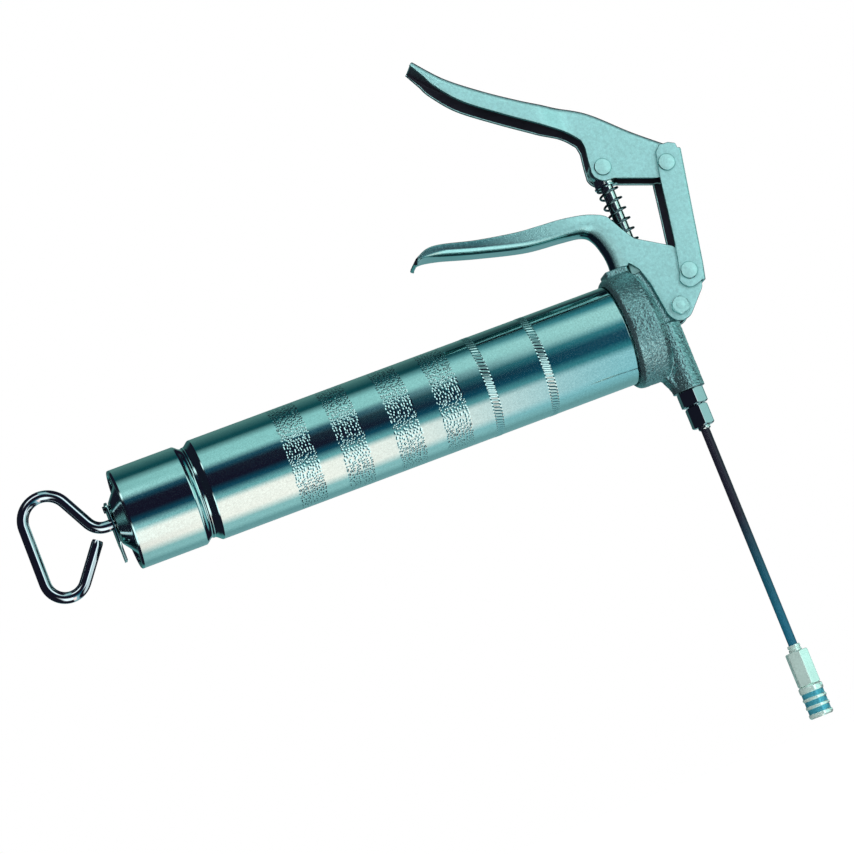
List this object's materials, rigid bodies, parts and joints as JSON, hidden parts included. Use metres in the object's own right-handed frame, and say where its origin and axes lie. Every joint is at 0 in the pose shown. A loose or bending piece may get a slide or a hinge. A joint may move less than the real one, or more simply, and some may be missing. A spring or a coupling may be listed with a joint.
{
  "type": "grease gun",
  "caption": "Lever grease gun: cartridge barrel with spring follower and pull rod, cast pump head, squeeze lever on a link, rigid outlet pipe and coupler.",
  "frame": {"origin": "on the barrel's axis, near the middle of its plain outer wall, where a clip holds it", "axes": "+X along the barrel towards the pump head, +Z towards the levers, +Y across the gun to its right-hand side"},
  "size_m": [0.4109, 0.0632, 0.4116],
  "materials": {
    "plated_steel": "zinc plated sheet steel, satin with a cold blue-green sheen",
    "bright_steel": "bright nickel plating, machined faces",
    "dark_steel": "oil blackened, polished",
    "spring_steel": "drawn spring wire, bright",
    "cast_head": "sand cast and plated, grainy",
    "brass": "turned, satin",
    "rubber": "moulded nitrile rubber, matt"
  },
  "bodies": {
    "barrel": {"barrel_tube": "plated_steel", "rear_cap": "plated_steel", "rod_bush": "brass", "latch_rivet": "dark_steel", "latch_spring": "spring_steel", "follower_spring": "spring_steel"},
    "latch": {"latch_plate": "plated_steel"},
    "follower": {"follower_cup": "rubber", "follower_plate": "plated_steel", "follower_washer": "plated_steel"},
    "pull_rod": {"pull_rod": "bright_steel", "rod_nut": "plated_steel"},
    "seal": {"barrel_seal": "rubber"},
    "head": {"head_casting": "cast_head", "plunger_packing": "rubber", "gland_nut": "plated_steel", "spring_seat_washer": "plated_steel", "return_spring": "spring_steel", "fixed_handle": "plated_steel", "bracket_bolt": "bright_steel", "bracket_nut": "bright_steel", "link_bracket_rivet": "bright_steel", "check_ball": "bright_steel", "check_spring": "spring_steel", "outlet_adapter": "plated_steel", "pipe_nut": "plated_steel", "pipe_ferrule": "bright_steel", "extension_pipe": "dark_steel", "coupler_ferrule": "bright_steel", "coupler_body": "bright_steel", "coupler_spring": "spring_steel", "coupler_seal": "rubber", "coupler_jaws": "dark_steel", "coupler_sleeve": "bright_steel"},
    "link": {"link": "plated_steel"},
    "lever": {"trigger_lever": "plated_steel", "plunger_rivet": "bright_steel", "lever_link_rivet": "bright_steel"},
    "plunger": {"plunger": "bright_steel", "spring_cap_washer": "plated_steel"}
  },
  "joints": [
    {"name": "follower_travel", "type": "slide", "parent": "barrel", "child": "follower", "axis": [-1, 0, 0], "range_m": [0, 0.2], "stiffness_N_per_m": 500, "springref_m": -0.06, "deforming": ["follower_spring"]},
    {"name": "rod_turn", "type": "hinge", "parent": "follower", "child": "pull_rod", "pos_m": [0, 0, 0], "axis": [-1, 0, 0], "continuous": true},
    {"name": "latch_press", "type": "hinge", "parent": "barrel", "child": "latch", "pos_m": [-0.1759, 0, 0.0088], "axis": [0, -1, 0], "range_deg": [0, 2.2], "stiffness_Nm_per_rad": 0.3, "springref_deg": -3.44, "deforming": ["latch_spring"]},
    {"name": "head_unscrew", "type": "hinge", "parent": "barrel", "child": "seal", "pos_m": [0, 0, 0], "axis": [1, 0, 0], "range_deg": [0, 2160]},
    {"name": "head_travel", "type": "slide", "parent": "seal", "child": "head", "axis": [1, 0, 0], "range_m": [0, 0.0121]},
    {"name": "link_swing", "type": "hinge", "parent": "head", "child": "link", "pos_m": [0.1644, 0, 0.0189], "axis": [0, 1, 0], "range_deg": [0, 1.7]},
    {"name": "lever_squeeze", "type": "hinge", "parent": "link", "child": "lever", "pos_m": [0.1757, 0, 0.0791], "axis": [0, -1, 0], "range_deg": [0, 25], "stiffness_Nm_per_rad": 2, "springref_deg": -22.92},
    {"name": "plunger_stroke", "type": "slide", "parent": "head", "child": "plunger", "axis": [0, 0, -1], "range_m": [0, 0.0146], "deforming": ["return_spring"]}
  ],
  "couplings": [
    {"joint": "head_travel", "follows": "head_unscrew", "m_per_rad": 0.00031831},
    {"joint": "link_swing", "follows": "lever_squeeze", "ratio": 0.065},
    {"joint": "plunger_stroke", "follows": "lever_squeeze", "m_per_rad": 0.03319}
  ]
}
